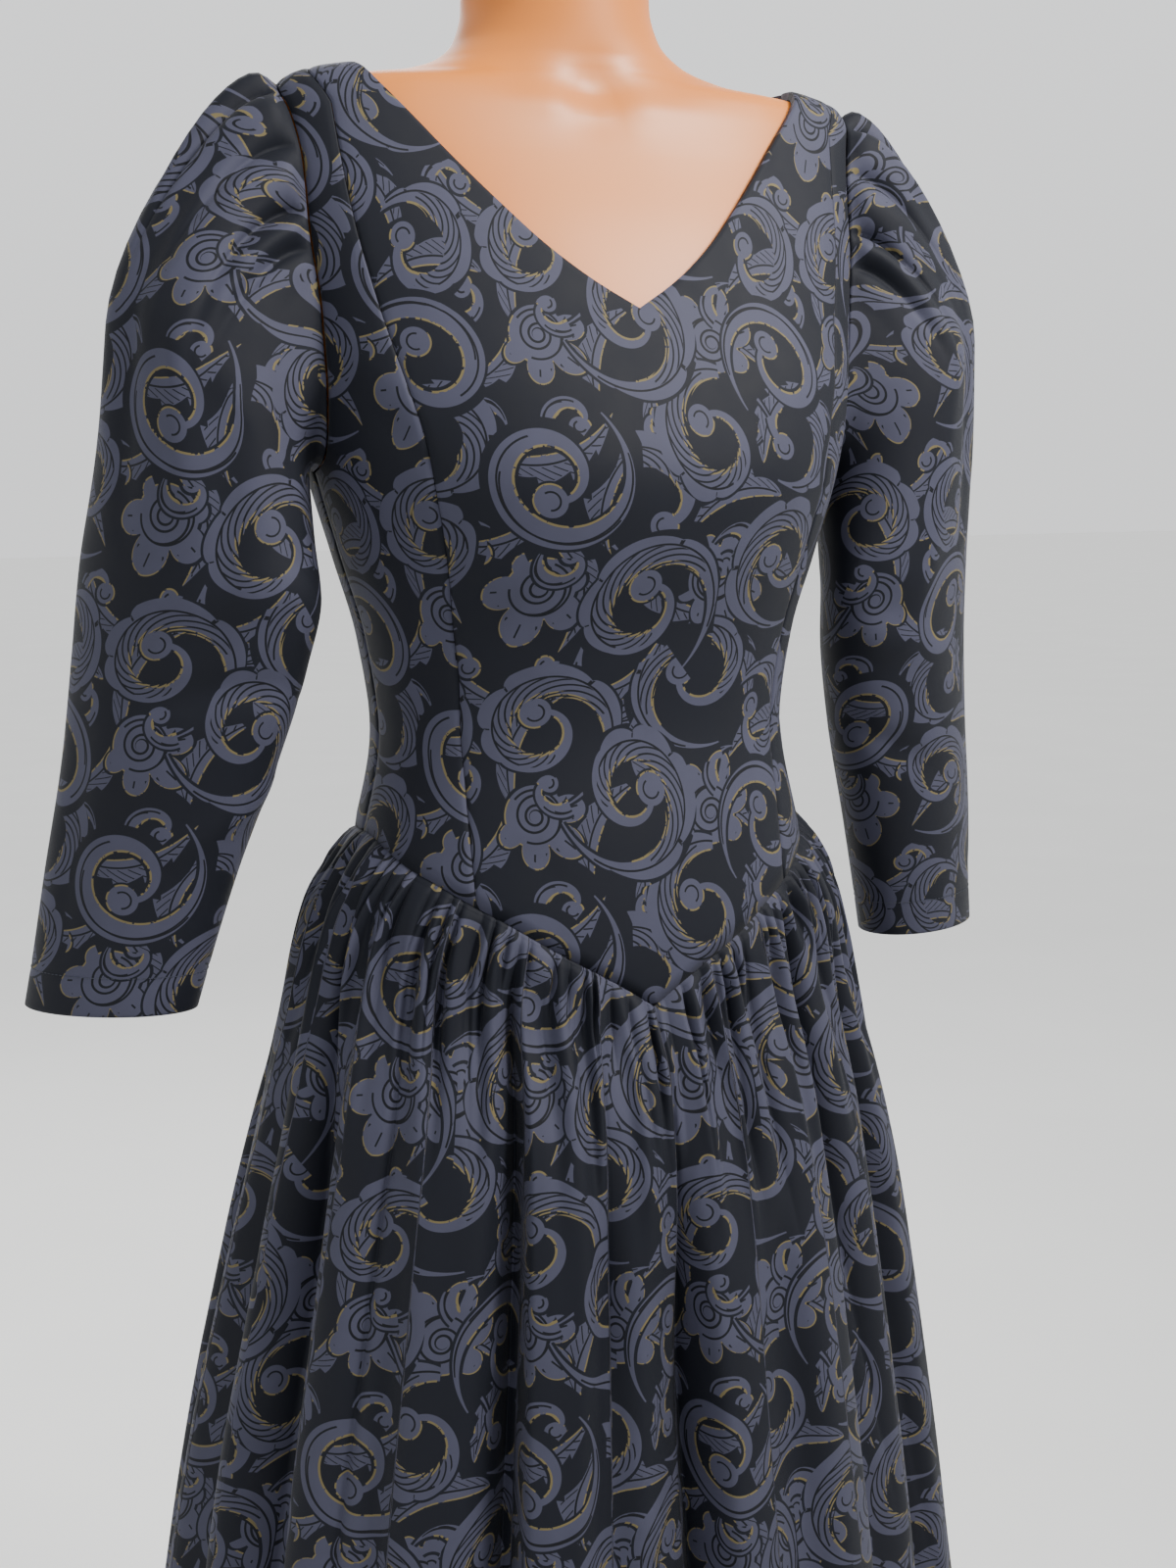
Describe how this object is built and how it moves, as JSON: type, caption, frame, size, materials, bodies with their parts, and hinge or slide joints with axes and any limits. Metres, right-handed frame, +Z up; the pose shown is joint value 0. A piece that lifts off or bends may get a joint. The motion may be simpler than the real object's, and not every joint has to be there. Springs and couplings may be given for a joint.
{
  "type": "ball gown on dress form",
  "caption": "Floor-length ball gown with V neck, puffed sleeve heads, pointed waist, gathered skirt and centre-back zip, on a limbless dress form with pole and round base.",
  "frame": {"origin": "centre of the base's underside, on the floor", "axes": "+Z up along the pole; the gown faces -Y and its own left side is +X"},
  "size_m": [0.6481, 0.5465, 1.53],
  "materials": {
    "cloth": "navy printed cotton",
    "form": "smooth, glossy",
    "stand": "black, satin",
    "zip": "navy enamel, satin"
  },
  "bodies": {
    "gown_on_form": {"bodice_centre_front": "cloth", "bodice_side_front_left": "cloth", "bodice_side_front_right": "cloth", "bodice_back_left": "cloth", "bodice_back_right": "cloth", "sleeve_left": "cloth", "sleeve_right": "cloth", "skirt_front": "cloth", "skirt_back_left": "cloth", "skirt_back_right": "cloth", "form_torso": "form", "form_pole": "stand", "form_base": "stand", "zip_slider": "zip"},
    "zip_pull_tab": {"zip_pull": "zip"}
  },
  "joints": [
    {"name": "pull_tab_swing", "type": "hinge", "parent": "gown_on_form", "child": "zip_pull_tab", "pos_m": [0, 0.09894, 1.35939], "axis": [1, 0, 0], "range_deg": [0, 150]}
  ]
}
